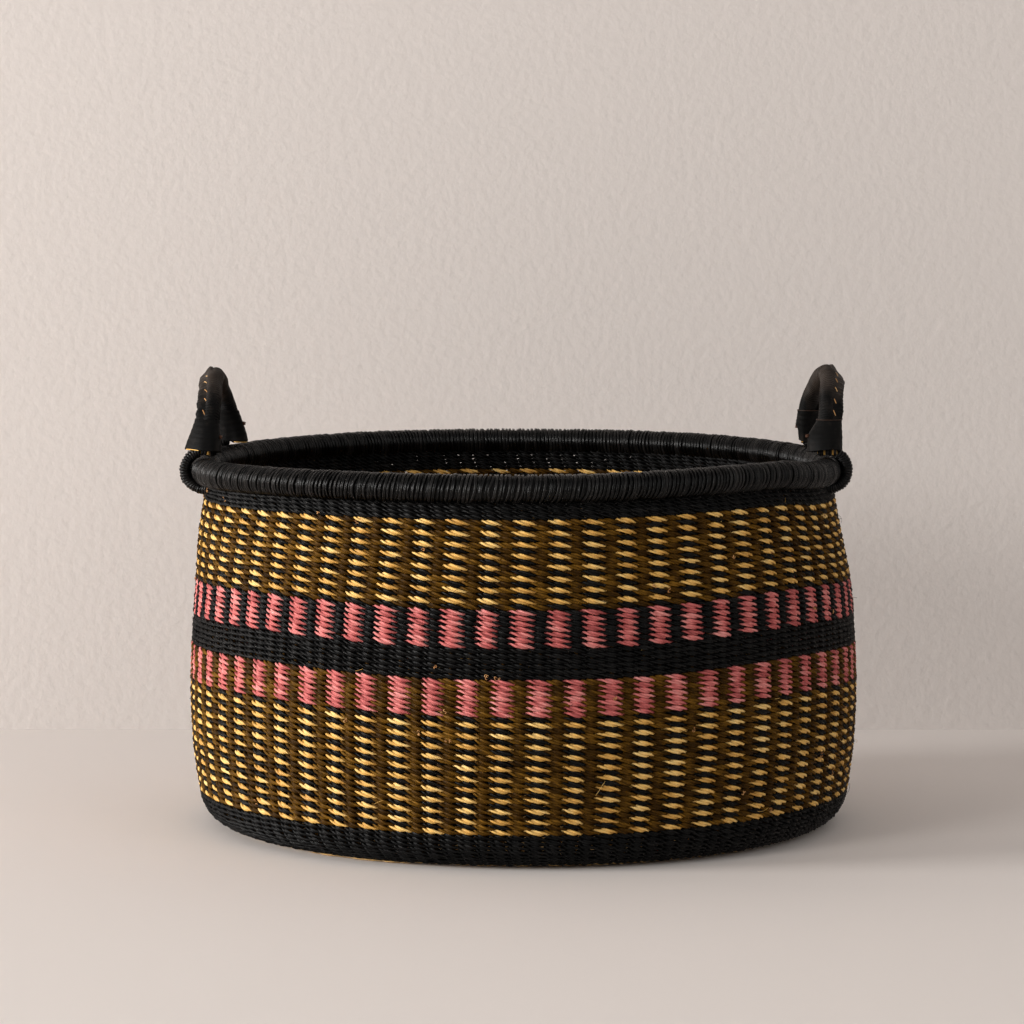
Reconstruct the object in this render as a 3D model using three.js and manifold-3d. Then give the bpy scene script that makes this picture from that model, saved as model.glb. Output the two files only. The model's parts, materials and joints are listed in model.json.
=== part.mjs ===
// Round twined grass basket with a lashed rim and two leather-covered ear handles.
// Millimetres, +Z up. The origin is the middle of the underside, and the handles stand at +X and -X.
import * as THREE from 'three';
import { mergeVertices } from 'three/addons/utils/BufferGeometryUtils.js';
import Module from 'manifold-3d';

const wasm = await Module();
wasm.setup();
const rad = THREE.MathUtils.degToRad;

// Wall and base
const BODY_RADIUS = 240; // outside, at the belly
const BELLY_HEIGHT = 95; // height of the widest place
const CORNER_RADIUS = 26; // round turn from the base into the wall
const CORNER_LEAN = rad(10); // outward lean of the wall just above that turn
const UPPER_CURVE_RADIUS = 770; // bow of the wall above the belly
const WALL_THICKNESS = 5.4; // two strands with the stakes between them
const ROW_PITCH = 3.68; // height of one row of twining
const TOUCH_GAP = 0.3; // between pieces that lie against each other

const GROOVE_DEPTH = 1.4; // between two rows of gold stitches

// Bands of weft below the neck, from the rim down, each with its rows of twining.
// Every second row of a gold band has gold stitches, which stand out as ribs. Looseness is how
// much higher than usual the rows of a band are.
const BANDS = [
  { name: 'upper_gold_band', rows: 16, ribs: 8, looseness: 1.025, colour: 0x8c6a2c },
  { name: 'upper_pink_band', rows: 7, looseness: 0.99, colour: 0x9a4c4e },
  { name: 'middle_black_band', rows: 6, looseness: 0.965, colour: 0x1e1d1f },
  { name: 'lower_pink_band', rows: 7, looseness: 0.965, colour: 0xa8594a },
  { name: 'lower_gold_band', rows: 22, ribs: 11, colour: 0x8a662a },
  { name: 'base_edge_band', rows: 9, colour: 0x1e1d1f },
];
const BASE_CENTRE_RADIUS = 70; // inner disc of the base
const BASE_MIDDLE_RADIUS = 140; // ring round that disc

// Rim
const RIM_HEIGHT = 257.6; // middle of the rim roll, at the front and back
const RIM_OUTSET = 3.1; // how far the roll stands outside the middle of the wall
const RIM_CORE_RADIUS = 8.6; // bundle of stake ends
const LASHING_THICKNESS = 1.3; // turns of split grass round that bundle
const NECK_DEPTH = 20.8; // from the middle of the roll down to the first patterned row
const RIM_DIP = 2.8; // the rim sinks this much at the handles
const DIP_START = 150; // the weave begins to sink at this height and is fully sunk at the next
const DIP_END = 235;
const FLANK_RISE = 3.9; // the rows climb this much between the front or back and a handle
const FLANK_SKEW = 0.2; // more of it on the right than on the left
const FLANK_PEAK = 5.38; // makes the rise of the flanks 1 at its highest
const FLANK_FULL_HEIGHT = 90;
const FLANK_FADE_START = 180;
const FLANK_FADE_END = 236;
const MOUTH_SWAY = 2.8; // the mouth stands this much further to the left than the belly
const SWAY_START = 165; // heights between which the wall leans over
const SWAY_END = 225;
const ROLL_SWAY = 2.6; // the neck carries the roll this much further to the left again
const ROLL_SWAY_START = 238;
const ROLL_SWAY_END = 247;

// Handles
const HANDLE_SETBACK = rad(5.5); // both stand this much behind the cross line of the basket
const ARCH_HALF_SPAN = 64; // from the top of the arch to a foot, along the rim
const ARCH_RISE = 66; // middle of the leather above the middle of the roll
const LEFT_LEAN = rad(4.5); // the left handle rests leaning inward
const ROPE_RADIUS = 1.55; // grass rope of the handle where it thins out round the rim
const SLEEVE_THICKNESS = 1.6;
const SLEEVE_START = 24; // height of the ends of the sleeve above the middle of the roll
const SLEEVE_ACROSS = 7.4; // half width of the leather, in and out of the basket
const SLEEVE_ALONG = 7.1; // half width of the leather, along the rim
const SEAM_WIDTH = 4.4;
const SEAM_HEIGHT = 1.7;
const SEAM_TOP = 0.6; // width of the seam's top, as a part of its width
const COLLAR_THICKNESS = 1.1;
const COLLAR_HEM = 15.4; // height of the lower edge above the middle of the roll
const COLLAR_HEIGHT = 20.6;
const COLLAR_EASE = 0.8; // room between the bend of the sleeve and the collar round it
const COLLAR_FLARE_ACROSS = 2.9; // how much wider the hem is than the top, on each side
const COLLAR_FLARE_ALONG = 1.3;
const STRAW_CLEARANCE = 1.7; // the straw ends stay this far above the roll
const STRAW_TUCK = 1; // how far the straw ends run up inside the collar
const STRAW_REACH = 9.6; // from the middle of the leg to the inner edge of the straw
const STRAW_HALF_WIDTH = 7.6;

// Anchor ropes: round the outside of the roll, through the wall, to a knot inside the basket
const ANCHOR_ARC_RADIUS = 15.4; // from the middle of the roll to the middle of the rope
const WINDING_CORD = 1.3; // thickness of the cord wound round the rope
const WINDING_LOOPS = 11;
const WINDING_TOP = rad(60); // place on the roll's section, counted up from straight outward
const WINDING_END = rad(-78);
const ROPE_TOP = rad(62);
const ROPE_END = rad(-136);
const ROPE_SHOULDER = 0.9; // thickness of the rope at the ends of the leather, as a part of that inside it
const KNOT_TURN = rad(20); // length of the knot past the end of the rope, seen from the roll
const KNOT_RADIUS = 4.2;
// Knot from its tip to the rope: place as a part of its length, and thickness as a part of its width
const KNOT_RINGS = [
  { place: 1, width: 0.7 },
  { place: 0.75, width: 1 },
  { place: 0.35, width: 1 },
  { place: 0.1, width: 0.6 },
];
const HOLE_CLEARANCE = 0.4; // round the wound rope where it passes the wall

// Fineness of the faceted solids
const ROUND_STEPS = 48; // round the basket
const WALL_STEP = 36; // up the wall
const CORNER_STEP = 9; // round the turn of the base
const ROLL_STEPS = 10; // round the section of the rim
const CORE_STEPS = 8; // round the bundle inside it
const SLEEVE_STEPS = 14;
const LEATHER_SIDES = 12;
const COLLAR_STEPS = 4;
const STRAW_STEPS = 8;
const ROPE_STEPS = 11; // round the roll
const ROPE_SIDES = 8;
const LOOP_STEPS = 8;
const CORD_SIDES = 5;
const HOLE_STEPS = 40;
const HOLE_SIDES = 10;
const LEAST_LENGTH = 1; // parts of the outline that are shorter get no ring of their own
const WELD_DISTANCE = 1e-4; // corners this close are one corner

const GRASS = { roughness: 0.75, metalness: 0 };
const LEATHER = { color: 0x171616, roughness: 0.5, metalness: 0 };
const BLACK_GRASS = 0x1e1d1f;
const STRAW = 0xc9a566;

// Outline of the wall, followed by its length from the middle of the base
const cornerTop = CORNER_RADIUS * (1 - Math.sin(CORNER_LEAN));
const lowerCurveRadius = (BELLY_HEIGHT - cornerTop) / Math.sin(CORNER_LEAN);
const lowerBulge = lowerCurveRadius * (1 - Math.cos(CORNER_LEAN));
const flatRadius = BODY_RADIUS - lowerBulge - CORNER_RADIUS * Math.cos(CORNER_LEAN);
const cornerEnd = flatRadius + CORNER_RADIUS * (Math.PI / 2 - CORNER_LEAN);
const bellyPlace = cornerEnd + lowerCurveRadius * CORNER_LEAN;

// Point of the wall at a length along its outline and a depth under its outer face
function wallPoint(place, depth) {
  if (place <= flatRadius) return new THREE.Vector2(place, depth);
  if (place <= cornerEnd) {
    const turn = (place - flatRadius) / CORNER_RADIUS;
    const reach = CORNER_RADIUS - depth;
    return new THREE.Vector2(flatRadius + reach * Math.sin(turn), CORNER_RADIUS - reach * Math.cos(turn));
  }
  const curve = place <= bellyPlace ? lowerCurveRadius : UPPER_CURVE_RADIUS;
  const turn = (place - bellyPlace) / curve;
  const centre = BODY_RADIUS - curve;
  const reach = curve - depth;
  return new THREE.Vector2(centre + reach * Math.cos(turn), BELLY_HEIGHT + reach * Math.sin(turn));
}

// Length along the outline at which the upper wall reaches a height
function placeAtHeight(height) {
  return bellyPlace + UPPER_CURVE_RADIUS * Math.asin((height - BELLY_HEIGHT) / UPPER_CURVE_RADIUS);
}

// Places between two lengths along the outline, close together round the corner
function stations(from, to) {
  const inside = (place) => place > from + LEAST_LENGTH && place < to - LEAST_LENGTH;
  const turns = [flatRadius, cornerEnd, bellyPlace].filter(inside);
  const stops = [from, ...turns, to];
  const places = [from];
  for (let i = 1; i < stops.length; i++) {
    const start = stops[i - 1];
    const inCorner = start >= flatRadius - LEAST_LENGTH && stops[i] <= cornerEnd + LEAST_LENGTH;
    const flat = stops[i] <= flatRadius + LEAST_LENGTH;
    const length = stops[i] - start;
    const steps = flat ? 1 : Math.ceil(length / (inCorner ? CORNER_STEP : WALL_STEP));
    for (let k = 1; k <= steps; k++) places.push(start + (length * k) / steps);
  }
  return places;
}

// How far the weave sinks at a place round the basket and a height: down at the handles near the
// rim, and up on the flanks half-way down the wall
function dipAt(x, y, z) {
  const { smoothstep } = THREE.MathUtils;
  const across = Math.cos(Math.atan2(y, x));
  const dip = RIM_DIP * across ** 4 * smoothstep(z, DIP_START, DIP_END);
  const flank = FLANK_PEAK * Math.abs(across) ** 3 * (1 - across ** 2) * (1 + FLANK_SKEW * across);
  const fade = smoothstep(z, 0, FLANK_FULL_HEIGHT) * (1 - smoothstep(z, FLANK_FADE_START, FLANK_FADE_END));
  return dip - FLANK_RISE * flank * fade;
}

// How far the basket stands over to the right at a height
function swayAt(z) {
  const { smoothstep } = THREE.MathUtils;
  const mouth = MOUTH_SWAY * smoothstep(z, SWAY_START, SWAY_END);
  return -mouth - ROLL_SWAY * smoothstep(z, ROLL_SWAY_START, ROLL_SWAY_END);
}

// Closed geometry with shared corners, no empty faces, and faces that point out
function closed(geometry) {
  const bare = geometry.clone();
  bare.deleteAttribute('normal');
  bare.deleteAttribute('uv');
  const merged = mergeVertices(bare, WELD_DISTANCE);
  const p = merged.attributes.position;
  const old = merged.index.array;
  const faces = [];
  let volume = 0;
  const [a, b, c] = [new THREE.Vector3(), new THREE.Vector3(), new THREE.Vector3()];
  for (let i = 0; i < old.length; i += 3) {
    const [u, v, w] = [old[i], old[i + 1], old[i + 2]];
    if (u === v || v === w || w === u) continue;
    faces.push([u, v, w]);
    a.fromBufferAttribute(p, u);
    b.fromBufferAttribute(p, v);
    c.fromBufferAttribute(p, w);
    volume += a.dot(b.cross(c)) / 6;
  }
  const index = volume > 0 ? faces.flat() : faces.flatMap(([u, v, w]) => [u, w, v]);
  merged.setIndex(index);
  return merged;
}

// Ring round the basket with a closed section, sunk at the handles and leaning with the wall
function ring(section) {
  const turned = new THREE.LatheGeometry([...section, section[0]], ROUND_STEPS).rotateX(Math.PI / 2);
  const geometry = closed(turned);
  const p = geometry.attributes.position;
  for (let i = 0; i < p.count; i++) {
    const [x, y, z] = [p.getX(i), p.getY(i), p.getZ(i)];
    p.setXYZ(i, x + swayAt(z), y, z - dipAt(x, y, z));
  }
  return geometry;
}

// Section of the wall between two lengths along its outline, a little short at both ends
function wallSection(from, to, ribs) {
  const [low, high] = [from + TOUCH_GAP / 2, to - TOUCH_GAP / 2];
  const places = stations(low, high);
  const inner = places.map((place) => wallPoint(place, WALL_THICKNESS)).reverse();
  if (!ribs) return [...places.map((place) => wallPoint(place, 0)), ...inner];
  const outer = Array.from({ length: 2 * ribs + 1 }, (_, i) => {
    return wallPoint(low + ((high - low) * i) / (2 * ribs), i % 2 ? 0 : GROOVE_DEPTH);
  });
  return [...outer, ...inner];
}

// Closed solid that runs through rings of points; a loop of rings leaves a hole through it
function loft(rings, loop = false) {
  const sides = rings[0].length;
  const index = [];
  const lengths = loop ? rings.length : rings.length - 1;
  for (let i = 0; i < lengths; i++) {
    const near = i * sides;
    const far = ((i + 1) % rings.length) * sides;
    for (let j = 0; j < sides; j++) {
      const k = (j + 1) % sides;
      index.push(near + j, near + k, far + k, near + j, far + k, far + j);
    }
  }
  const last = (rings.length - 1) * sides;
  for (let j = 1; j < sides - 1 && !loop; j++) {
    index.push(0, j + 1, j, last, last + j, last + j + 1);
  }
  const geometry = new THREE.BufferGeometry().setFromPoints(rings.flat());
  geometry.setIndex(index);
  return closed(geometry);
}

function toSolid(geometry) {
  const vertProperties = new Float32Array(geometry.attributes.position.array);
  const triVerts = new Uint32Array(geometry.index.array);
  return new wasm.Manifold(new wasm.Mesh({ numProp: 3, vertProperties, triVerts }));
}

function toGeometry(solid) {
  const mesh = solid.getMesh();
  const geometry = new THREE.BufferGeometry();
  geometry.setAttribute('position', new THREE.BufferAttribute(mesh.vertProperties, 3));
  geometry.setIndex(new THREE.BufferAttribute(mesh.triVerts, 1));
  return geometry;
}

function piece(name, geometry, look) {
  geometry.computeVertexNormals();
  const mesh = new THREE.Mesh(geometry, new THREE.MeshStandardMaterial(look));
  mesh.name = name;
  return mesh;
}

// Rim roll: where it sits, and the section of the lashing, open below for the wall
const wallTopHeight = RIM_HEIGHT - RIM_CORE_RADIUS - TOUCH_GAP;
const wallTop = placeAtHeight(wallTopHeight);
const wallMiddle = wallPoint(wallTop, WALL_THICKNESS / 2).x;
const rimRadius = wallMiddle + RIM_OUTSET;
const rollRadius = RIM_CORE_RADIUS + TOUCH_GAP + LASHING_THICKNESS;

function rollPoint(radius, angle) {
  return new THREE.Vector2(rimRadius + radius * Math.cos(angle), RIM_HEIGHT + radius * Math.sin(angle));
}

function arc(radius, from, to, steps) {
  const points = [];
  for (let i = 0; i <= steps; i++) points.push(rollPoint(radius, from + ((to - from) * i) / steps));
  return points;
}

function lashingSection() {
  const inside = (RIM_CORE_RADIUS + TOUCH_GAP) / Math.cos(Math.PI / ROLL_STEPS);
  const halfSlit = WALL_THICKNESS / 2 + 2 * TOUCH_GAP;
  const outerLip = -Math.acos((halfSlit - RIM_OUTSET) / inside);
  const innerLip = -Math.acos((-halfSlit - RIM_OUTSET) / inside);
  const outer = arc(rollRadius, outerLip, 2 * Math.PI + innerLip, ROLL_STEPS);
  const inner = arc(inside, 2 * Math.PI + innerLip, outerLip, ROLL_STEPS);
  return [...outer, ...inner];
}

function rimPieces() {
  const core = arc(RIM_CORE_RADIUS, 0, 2 * Math.PI, CORE_STEPS).slice(0, -1);
  return [
    piece('rim_core', ring(core), { color: STRAW, ...GRASS }),
    piece('rim_lashing', ring(lashingSection()), { color: BLACK_GRASS, ...GRASS }),
  ];
}

// Handles: each is built round its hinge line, which runs through the roll at both feet.
// There +X points out of the basket, +Y along the hinge line and +Z up.
const footAngle = ARCH_HALF_SPAN / rimRadius;
const hingeRadius = rimRadius * Math.cos(footAngle);
const footReach = rimRadius * Math.sin(footAngle);
const footAzimuths = [HANDLE_SETBACK - footAngle, HANDLE_SETBACK + footAngle];
const footDips = footAzimuths.map((angle) => dipAt(Math.cos(angle), Math.sin(angle), RIM_HEIGHT));
const hingeHeight = RIM_HEIGHT - (footDips[0] + footDips[1]) / 2;
const HANDLES = [
  { side: 'right', azimuth: HANDLE_SETBACK, lean: 0, feet: { front: -1, back: 1 } },
  { side: 'left', azimuth: Math.PI - HANDLE_SETBACK, lean: -LEFT_LEAN, feet: { front: 1, back: -1 } },
];

// Middle of the leather arch, from turn 0 at the +Y foot to a half turn at the -Y foot
function archPoint(turn) {
  const angle = (ARCH_HALF_SPAN * Math.cos(turn)) / rimRadius;
  const out = rimRadius * Math.cos(angle) - hingeRadius;
  return new THREE.Vector3(out, rimRadius * Math.sin(angle), ARCH_RISE * Math.sin(turn));
}

function turnAtHeight(height) {
  return Math.asin(height / ARCH_RISE);
}

// Directions in a cross section of the arch: out of the basket, and in the arch's own plane
function archFrame(turn) {
  const step = 1e-3;
  const along = archPoint(turn + step).sub(archPoint(turn - step)).normalize();
  const angle = (ARCH_HALF_SPAN * Math.cos(turn)) / rimRadius;
  const out = new THREE.Vector3(Math.cos(angle), Math.sin(angle), 0);
  out.addScaledVector(along, -out.dot(along)).normalize();
  return { out, up: new THREE.Vector3().crossVectors(out, along) };
}

function archRing(turn, across, along) {
  const centre = archPoint(turn);
  const { out, up } = archFrame(turn);
  return Array.from({ length: LEATHER_SIDES }, (_, i) => {
    const angle = (2 * Math.PI * i) / LEATHER_SIDES;
    const point = centre.clone().addScaledVector(out, across * Math.cos(angle));
    return point.addScaledVector(up, along * Math.sin(angle));
  });
}

function evenTurns(from, steps) {
  return Array.from({ length: steps + 1 }, (_, i) => from + ((Math.PI - 2 * from) * i) / steps);
}

function sleeve() {
  const turns = evenTurns(turnAtHeight(SLEEVE_START), SLEEVE_STEPS);
  const bore = SLEEVE_THICKNESS;
  const outer = turns.map((turn) => archRing(turn, SLEEVE_ACROSS, SLEEVE_ALONG));
  const inner = turns.map((turn) => archRing(turn, SLEEVE_ACROSS - bore, SLEEVE_ALONG - bore)).reverse();
  return loft([...outer, ...inner], true);
}

// Laced seam: a low ridge on the outward side of the sleeve, from one collar to the other
function seam() {
  const start = COLLAR_HEM + COLLAR_HEIGHT + SEAM_WIDTH / 2;
  const turns = evenTurns(turnAtHeight(start), SLEEVE_STEPS);
  const foot = SLEEVE_ACROSS + TOUCH_GAP;
  const rings = turns.map((turn) => {
    const centre = archPoint(turn);
    const { out, up } = archFrame(turn);
    const top = foot + SEAM_HEIGHT;
    const corners = [[foot, -1], [top, -SEAM_TOP], [top, SEAM_TOP], [foot, 1]];
    return corners.map(([reach, side]) =>
      centre.clone().addScaledVector(out, reach).addScaledVector(up, (side * SEAM_WIDTH) / 2));
  });
  return loft(rings);
}

// Level ring round a leg, at a height above the middle of the roll
function legRing(foot, height, across, along) {
  const centre = archPoint(turnAtHeight(height));
  return Array.from({ length: LEATHER_SIDES }, (_, i) => {
    const angle = (2 * Math.PI * i) / LEATHER_SIDES;
    return new THREE.Vector3(
      centre.x + across * Math.cos(angle),
      foot * (centre.y + along * Math.sin(angle)),
      height,
    );
  });
}

function collar(foot) {
  const rings = { outer: [], inner: [] };
  const topTurn = turnAtHeight(COLLAR_HEM + COLLAR_HEIGHT);
  const slant = Math.hypot(1, (ARCH_HALF_SPAN / ARCH_RISE) * Math.tan(topTurn));
  const facet = Math.cos(Math.PI / LEATHER_SIDES);
  const topAcross = (SLEEVE_ACROSS + TOUCH_GAP) / facet + COLLAR_THICKNESS;
  const topAlong = (SLEEVE_ALONG * slant + COLLAR_EASE) / facet + COLLAR_THICKNESS;
  for (let i = 0; i <= COLLAR_STEPS; i++) {
    const down = i / COLLAR_STEPS;
    const height = COLLAR_HEM + COLLAR_HEIGHT * (1 - down);
    const across = topAcross + COLLAR_FLARE_ACROSS * down ** 2;
    const along = topAlong + COLLAR_FLARE_ALONG * down ** 2;
    rings.outer.push(legRing(foot, height, across, along));
    rings.inner.unshift(legRing(foot, height, across - COLLAR_THICKNESS, along - COLLAR_THICKNESS));
  }
  return loft([...rings.outer, ...rings.inner], true);
}

// Point on the rope's way round the roll; the angle counts up from straight outward
function anchorPoint(foot, angle, reach = ANCHOR_ARC_RADIUS) {
  return new THREE.Vector3(reach * Math.cos(angle), foot * footReach, reach * Math.sin(angle));
}

// Straw ends that show under the hem on the inner side of the wound rope
function straw(foot) {
  const bottom = rollRadius + STRAW_CLEARANCE;
  const depth = COLLAR_HEM + STRAW_TUCK - bottom;
  const centre = archPoint(turnAtHeight(COLLAR_HEM));
  const ropeEdge = anchorPoint(foot, ROPE_TOP).x - ROPE_RADIUS - 2 * (WINDING_CORD + TOUCH_GAP);
  const shape = new THREE.Shape();
  shape.moveTo(ropeEdge - centre.x, -STRAW_HALF_WIDTH);
  shape.lineTo(ropeEdge - centre.x, STRAW_HALF_WIDTH);
  shape.absellipse(ropeEdge - centre.x, 0, STRAW_REACH + ropeEdge - centre.x, STRAW_HALF_WIDTH,
    Math.PI / 2, 1.5 * Math.PI, false, 0);
  const block = new THREE.ExtrudeGeometry(shape, { depth, bevelEnabled: false, curveSegments: STRAW_STEPS });
  return closed(block.translate(centre.x, foot * centre.y, bottom));
}

// Rope from the knot inside, through the wall and round the roll, up one leg and down the other
function core() {
  const path = [];
  const radii = [];
  const add = (point, radius) => {
    path.push(point);
    radii.push(radius);
  };
  const thick = (SLEEVE_ALONG - SLEEVE_THICKNESS) * Math.cos(Math.PI / LEATHER_SIDES) - TOUCH_GAP;
  const legs = evenTurns(turnAtHeight(SLEEVE_START - TOUCH_GAP), SLEEVE_STEPS);
  const half = KNOT_RINGS.map(({ place, width }) => [ROPE_END - KNOT_TURN * place, KNOT_RADIUS * width]);
  for (let i = 0; i <= ROPE_STEPS; i++) {
    half.push([ROPE_END + ((ROPE_TOP - ROPE_END) * i) / ROPE_STEPS, ROPE_RADIUS]);
  }
  for (const [angle, radius] of half) add(anchorPoint(1, angle), radius);
  legs.forEach((turn, i) => {
    const atEnd = i === 0 || i === legs.length - 1;
    add(archPoint(turn), atEnd ? ROPE_SHOULDER * thick : thick);
  });
  for (const [angle, radius] of half.toReversed()) add(anchorPoint(-1, angle), radius);
  const side = new THREE.Vector3(0, 1, 0);
  const rings = path.map((point, i) => {
    const before = path[Math.max(i - 1, 0)];
    const after = path[Math.min(i + 1, path.length - 1)];
    const along = after.clone().sub(before).normalize();
    side.addScaledVector(along, -side.dot(along)).normalize();
    const up = new THREE.Vector3().crossVectors(along, side);
    return Array.from({ length: ROPE_SIDES }, (_, k) => {
      const angle = (2 * Math.PI * k) / ROPE_SIDES;
      return point.clone()
        .addScaledVector(side, radii[i] * Math.cos(angle))
        .addScaledVector(up, radii[i] * Math.sin(angle));
    });
  });
  return loft(rings);
}

// Cord wound round the rope in one unbroken helix, straight for one thickness at both ends
const loopRadius = (ROPE_RADIUS + TOUCH_GAP) / Math.cos(Math.PI / LOOP_STEPS) + WINDING_CORD / 2;

function winding(foot, name) {
  const count = WINDING_LOOPS * LOOP_STEPS;
  const points = [];
  const outs = [];
  for (let i = 0; i <= count; i++) {
    const angle = WINDING_TOP + ((WINDING_END - WINDING_TOP) * i) / count;
    const turn = (2 * Math.PI * i) / LOOP_STEPS;
    const out = anchorPoint(0, angle, Math.cos(turn)).setY(Math.sin(turn));
    points.push(anchorPoint(foot, angle).addScaledVector(out, loopRadius));
    outs.push(out);
  }
  let gap = Infinity;
  for (let i = 0; i < points.length; i++) {
    for (let k = i + LOOP_STEPS / 2; k < points.length; k++) {
      gap = Math.min(gap, points[i].distanceTo(points[k]) - WINDING_CORD);
    }
  }
  console.log(`${name}: least gap between turns ${gap.toFixed(2)} mm`);
  const straight = (end, next) => end.clone().add(end.clone().sub(next).setLength(WINDING_CORD));
  points.unshift(straight(points[0], points[1]));
  points.push(straight(points.at(-1), points.at(-2)));
  outs.unshift(outs[0]);
  outs.push(outs.at(-1));
  const rings = points.map((point, i) => {
    const before = points[Math.max(i - 1, 0)];
    const after = points[Math.min(i + 1, points.length - 1)];
    const along = after.clone().sub(before).normalize();
    const side = outs[i].clone().addScaledVector(along, -outs[i].dot(along)).normalize();
    const up = new THREE.Vector3().crossVectors(along, side);
    return Array.from({ length: CORD_SIDES }, (_, k) => {
      const angle = (2 * Math.PI * k) / CORD_SIDES;
      return point.clone()
        .addScaledVector(side, (WINDING_CORD / 2) * Math.cos(angle))
        .addScaledVector(up, (WINDING_CORD / 2) * Math.sin(angle));
    });
  });
  return loft(rings);
}

// Handle with all that moves with it, hung on its hinge line
function handle({ side, azimuth, lean, feet }) {
  const moving = new THREE.Group();
  moving.position.set(hingeRadius, 0, hingeHeight);
  moving.rotation.y = lean;
  moving.add(piece(`${side}_handle_core`, core(), { color: STRAW, ...GRASS }));
  moving.add(piece(`${side}_handle_sleeve`, sleeve(), LEATHER));
  moving.add(piece(`${side}_handle_seam`, seam(), LEATHER));
  for (const [end, foot] of Object.entries(feet)) {
    const wound = `${side}_${end}_winding`;
    moving.add(piece(`${side}_${end}_collar`, collar(foot), LEATHER));
    moving.add(piece(wound, winding(foot, wound), { color: BLACK_GRASS, ...GRASS }));
    moving.add(piece(`${side}_${end}_straw`, straw(foot), { color: STRAW, ...GRASS }));
  }
  const turned = new THREE.Group();
  turned.rotation.z = azimuth;
  turned.position.x = swayAt(RIM_HEIGHT);
  turned.add(moving);
  return turned;
}

// Way that a wound rope sweeps through the wall while its handle tilts, with room for the cord's straight end
function ropeHole(azimuth, foot) {
  const reach = Math.hypot(loopRadius, WINDING_CORD) + WINDING_CORD / 2 + HOLE_CLEARANCE;
  const holeRadius = reach / Math.cos(Math.PI / HOLE_SIDES);
  const hole = new THREE.TorusGeometry(ANCHOR_ARC_RADIUS, holeRadius, HOLE_SIDES, HOLE_STEPS);
  hole.rotateX(Math.PI / 2).translate(hingeRadius, foot * footReach, hingeHeight).rotateZ(azimuth);
  hole.translate(swayAt(RIM_HEIGHT), 0, 0);
  return toSolid(closed(hole));
}

function neck(from, to) {
  let solid = toSolid(ring(wallSection(from, to)));
  for (const { azimuth } of HANDLES) {
    for (const foot of [-1, 1]) solid = solid.subtract(ropeHole(azimuth, foot));
  }
  return toGeometry(solid);
}

// Wall and base, from the neck down to the middle of the base
function wovenPieces() {
  const pieces = [];
  let place = placeAtHeight(RIM_HEIGHT) - NECK_DEPTH;
  pieces.push(piece('neck_band', neck(place, wallTop + TOUCH_GAP / 2), { color: BLACK_GRASS, ...GRASS }));
  for (const { name, rows, ribs = 0, looseness = 1, colour } of BANDS) {
    const lower = place - rows * ROW_PITCH * looseness;
    pieces.push(piece(name, ring(wallSection(lower, place, ribs)), { color: colour, ...GRASS }));
    place = lower;
  }
  const undyed = { color: STRAW, ...GRASS };
  pieces.push(piece('base_outer', ring(wallSection(BASE_MIDDLE_RADIUS, place)), undyed));
  pieces.push(piece('base_middle', ring(wallSection(BASE_CENTRE_RADIUS, BASE_MIDDLE_RADIUS)), undyed));
  const edge = BASE_CENTRE_RADIUS - TOUCH_GAP / 2;
  const disc = [[0, 0], [edge, 0], [edge, WALL_THICKNESS], [0, WALL_THICKNESS]];
  const section = disc.map(([r, z]) => new THREE.Vector2(r, z));
  pieces.push(piece('base_centre', ring(section), undyed));
  return pieces;
}

const basket = new THREE.Group();
basket.name = 'woven_basket';
basket.add(...wovenPieces(), ...rimPieces(), ...HANDLES.map(handle));

export default basket;
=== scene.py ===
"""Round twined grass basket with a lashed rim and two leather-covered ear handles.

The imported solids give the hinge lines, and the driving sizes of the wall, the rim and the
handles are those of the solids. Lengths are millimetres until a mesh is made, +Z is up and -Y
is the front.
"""
import json
import math

import bpy
import numpy as np
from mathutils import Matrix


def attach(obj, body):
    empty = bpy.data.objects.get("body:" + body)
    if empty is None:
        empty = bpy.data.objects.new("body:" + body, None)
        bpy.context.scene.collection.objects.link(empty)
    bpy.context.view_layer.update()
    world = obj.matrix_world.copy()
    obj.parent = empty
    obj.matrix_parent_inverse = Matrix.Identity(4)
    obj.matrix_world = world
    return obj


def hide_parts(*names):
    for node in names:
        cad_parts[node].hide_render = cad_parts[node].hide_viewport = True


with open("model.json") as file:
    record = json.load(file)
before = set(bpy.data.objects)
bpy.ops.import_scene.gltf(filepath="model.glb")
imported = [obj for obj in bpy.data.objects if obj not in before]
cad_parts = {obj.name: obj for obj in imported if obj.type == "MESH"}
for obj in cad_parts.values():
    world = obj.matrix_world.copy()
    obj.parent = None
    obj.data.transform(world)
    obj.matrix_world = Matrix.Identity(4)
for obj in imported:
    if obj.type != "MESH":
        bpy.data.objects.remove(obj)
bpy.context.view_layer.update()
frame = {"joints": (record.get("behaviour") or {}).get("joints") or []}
MILLIMETRE = 0.001
TURN = 2 * math.pi
FRONT = -TURN / 4
UP = np.array([0, 0, 1.0])

# Camera: at the photograph's viewing angle, in metres
PICTURE_SIDE = 1024
FOCAL_PIXELS = 4031
CAMERA_PLACE = (-0.0083, -2.9, 0.4801)
CAMERA_PITCH = math.radians(5.08)

# Wall and base
BODY_RADIUS = 240
BELLY_HEIGHT = 95
CORNER_RADIUS = 26
CORNER_LEAN = math.radians(10)
UPPER_CURVE_RADIUS = 770
WALL_MIDDLE = 2.7  # depth of the stakes under the outer face
BASE_LIFT = 0.6  # how much deeper they lie in the base, so that no strand is under the floor
BASE_LIFT_FADE = 30  # length of the corner over which they rise to that depth
BASE_RIM_RADIUS = 178
BASE_MIDDLE_RADIUS = 140
BASE_CENTRE_RADIUS = 70
BASE_HEART_RADIUS = 28  # inside this the base has the fewest stakes
BASE_HOLE_RADIUS = 3

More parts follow.
